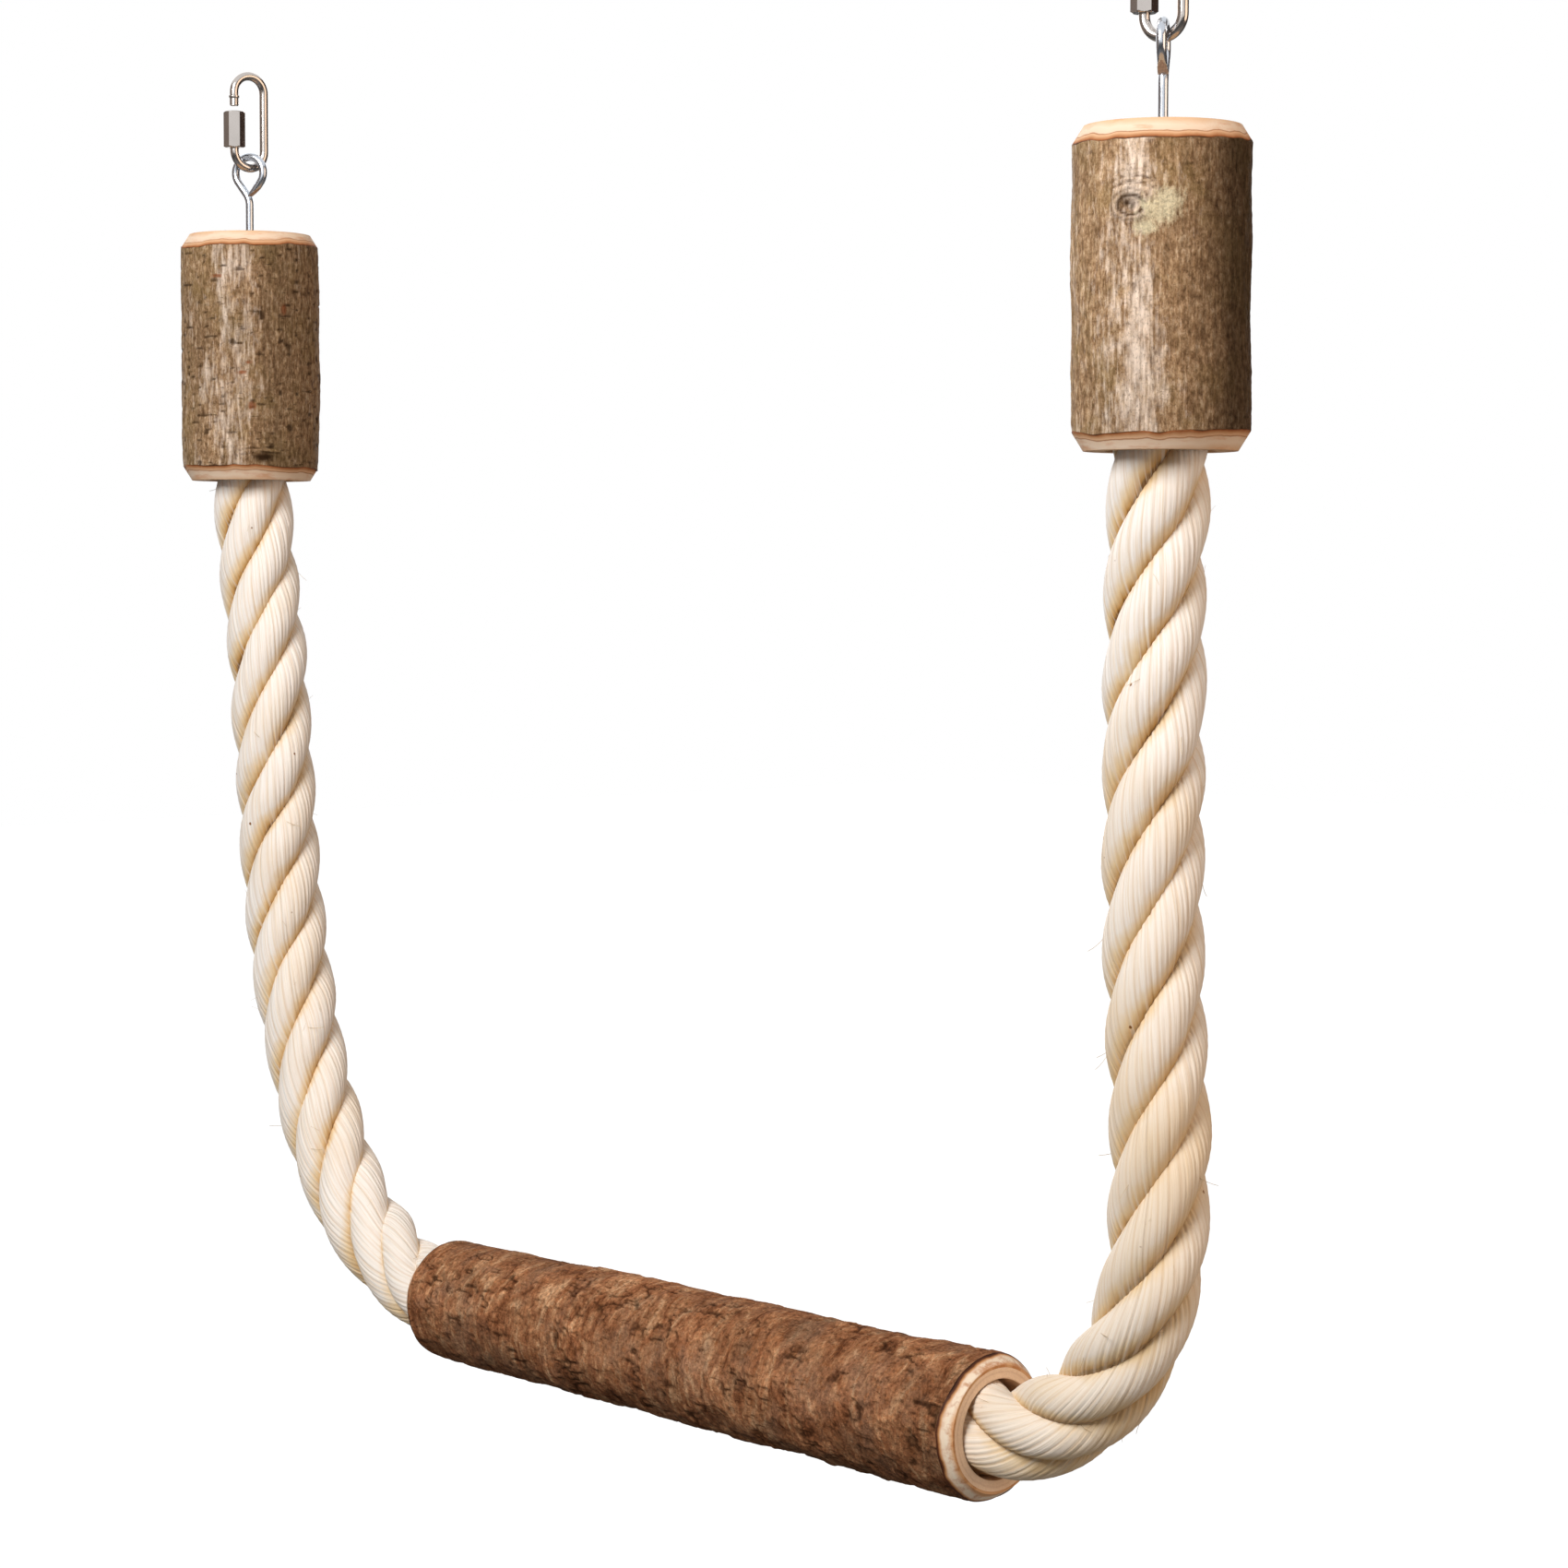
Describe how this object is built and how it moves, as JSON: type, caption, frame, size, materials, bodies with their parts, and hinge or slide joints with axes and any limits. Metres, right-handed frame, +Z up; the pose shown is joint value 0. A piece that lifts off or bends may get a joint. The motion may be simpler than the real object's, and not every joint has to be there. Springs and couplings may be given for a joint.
{
  "type": "bird rope swing",
  "caption": "Thick laid rope hanging as a U between bark log caps, carrying a bored log perch; hangs from eye screws and screw-gate links and swings front to back.",
  "frame": {"origin": "midway between the crowns of the two links, at the height where a hook or cord bears on them", "axes": "+Z up, +X along the perch towards its thicker end, +Y to the back"},
  "size_m": [0.547, 0.055, 0.5001],
  "materials": {
    "link_steel": "polished stainless steel",
    "zinc_steel": "bright zinc-plated steel wire",
    "cap_wood": "grey-brown bark, with pale wood at the chamfered ends",
    "perch_wood": "rough red-brown bark, with pale wood at the chamfered ends",
    "rope_fibre": "four-strand laid natural fibre",
    "binding": "cloth tape wound round the cut end"
  },
  "bodies": {
    "links": {"left_quick_link": "link_steel", "right_quick_link": "link_steel"},
    "left_nut": {"left_link_nut": "link_steel"},
    "right_nut": {"right_link_nut": "link_steel"},
    "left_end": {"left_eye_screw": "zinc_steel", "left_cap": "cap_wood", "left_cap_screw": "zinc_steel", "left_rope_binding": "binding", "left_rope_end": "rope_fibre"},
    "left_leg": {"left_rope_leg": "rope_fibre"},
    "perch_rope": {"left_rope_bend": "rope_fibre", "perch_rope": "rope_fibre", "right_rope_bend": "rope_fibre"},
    "perch_log": {"perch_log": "perch_wood"},
    "right_leg": {"right_rope_leg": "rope_fibre"},
    "right_end": {"right_eye_screw": "zinc_steel", "right_cap": "cap_wood", "right_cap_screw": "zinc_steel", "right_rope_binding": "binding", "right_rope_end": "rope_fibre"}
  },
  "joints": [
    {"name": "swing", "type": "hinge", "parent": "links", "child": "left_end", "pos_m": [-0.246, 0, -0.0322], "axis": [1, 0, 0], "range_deg": [-34, 34]},
    {"name": "sway", "type": "hinge", "parent": "left_end", "child": "left_leg", "pos_m": [-0.23, 0, -0.1597], "axis": [0, 1, 0], "range_deg": [-10, 10], "deforming": ["left_rope_leg", "right_rope_leg"]},
    {"name": "left_flex", "type": "hinge", "parent": "left_leg", "child": "perch_rope", "pos_m": [-0.23, 0, -0.374], "axis": [0, 1, 0], "range_deg": [-10, 10], "deforming": ["left_rope_leg"]},
    {"name": "right_flex", "type": "hinge", "parent": "perch_rope", "child": "right_leg", "pos_m": [0.2455, 0, -0.374], "axis": [0, 1, 0], "range_deg": [-10, 10], "deforming": ["right_rope_leg"]},
    {"name": "right_mouth", "type": "hinge", "parent": "right_leg", "child": "right_end", "pos_m": [0.2455, 0, -0.1597], "axis": [0, 1, 0], "range_deg": [-10, 10], "deforming": ["right_rope_leg"]},
    {"name": "perch_roll", "type": "hinge", "parent": "perch_rope", "child": "perch_log", "pos_m": [0.031, 0, -0.4725], "axis": [1, 0, 0], "continuous": true},
    {"name": "left_nut_travel", "type": "slide", "parent": "links", "child": "left_nut", "axis": [0, 0, 1], "range_m": [0, 0.0052]},
    {"name": "right_nut_travel", "type": "slide", "parent": "links", "child": "right_nut", "axis": [0, 0, 1], "range_m": [0, 0.0052]}
  ],
  "couplings": [
    {"joint": "left_flex", "follows": "sway", "ratio": -1},
    {"joint": "right_flex", "follows": "sway", "ratio": 1},
    {"joint": "right_mouth", "follows": "sway", "ratio": -1}
  ]
}
